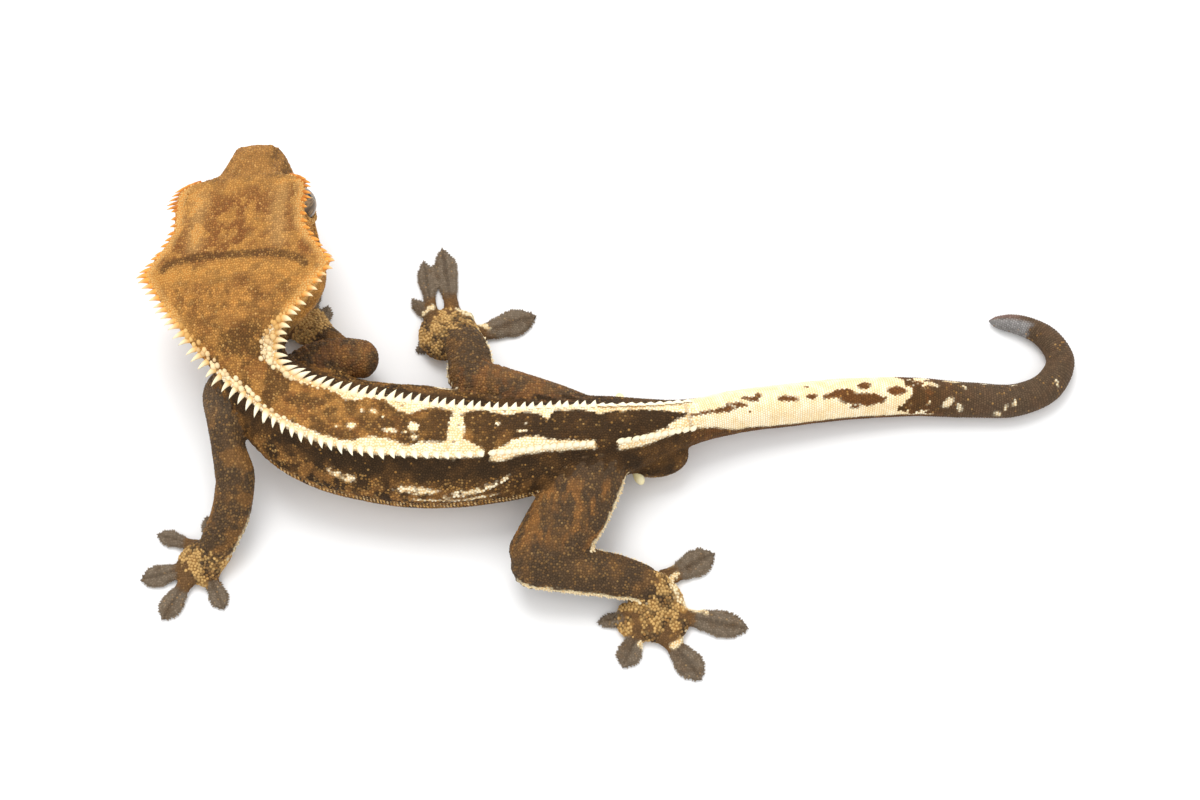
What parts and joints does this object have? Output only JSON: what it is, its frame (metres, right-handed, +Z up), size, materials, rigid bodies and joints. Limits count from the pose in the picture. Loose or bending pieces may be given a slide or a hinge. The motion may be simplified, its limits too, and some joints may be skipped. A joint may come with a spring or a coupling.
{
  "type": "crested gecko",
  "caption": "Life-size still model of a crested gecko at rest, its head turned to the side, with a spiny crest along the back and a curled tail.",
  "frame": {"origin": "middle of the footprint on the floor, under the animal", "axes": "+X from the shoulders towards the tail, +Y towards the snout of the turned head, +Z up"},
  "size_m": [0.1559, 0.0887, 0.0244],
  "materials": {
    "head_skin": "matt, mottled gold and brown, finely granular",
    "neck_skin": "matt, mottled gold and brown, finely granular",
    "trunk_skin": "matt, dark brown with cream bands, finely granular",
    "tail_skin": "matt, cream and brown, in rings of fine scales",
    "limb_skin": "matt, dark brown with gold specks",
    "foot_skin": "matt, grey-brown pads and gold-edged scales",
    "eye": "wet, glossy"
  },
  "bodies": {
    "root": {"head": "head_skin", "neck": "neck_skin", "chest": "trunk_skin", "belly": "trunk_skin", "hips": "trunk_skin", "tail_base": "tail_skin", "tail_middle": "tail_skin", "tail_curl": "tail_skin", "eye_left": "eye", "eye_right": "eye", "upper_arm_left": "limb_skin", "forearm_left": "limb_skin", "hand_left": "foot_skin", "upper_arm_right": "limb_skin", "forearm_right": "limb_skin", "hand_right": "foot_skin", "thigh_left": "limb_skin", "shank_left": "limb_skin", "foot_left": "foot_skin", "thigh_right": "limb_skin", "shank_right": "limb_skin", "foot_right": "foot_skin"}
  },
  "joints": []
}
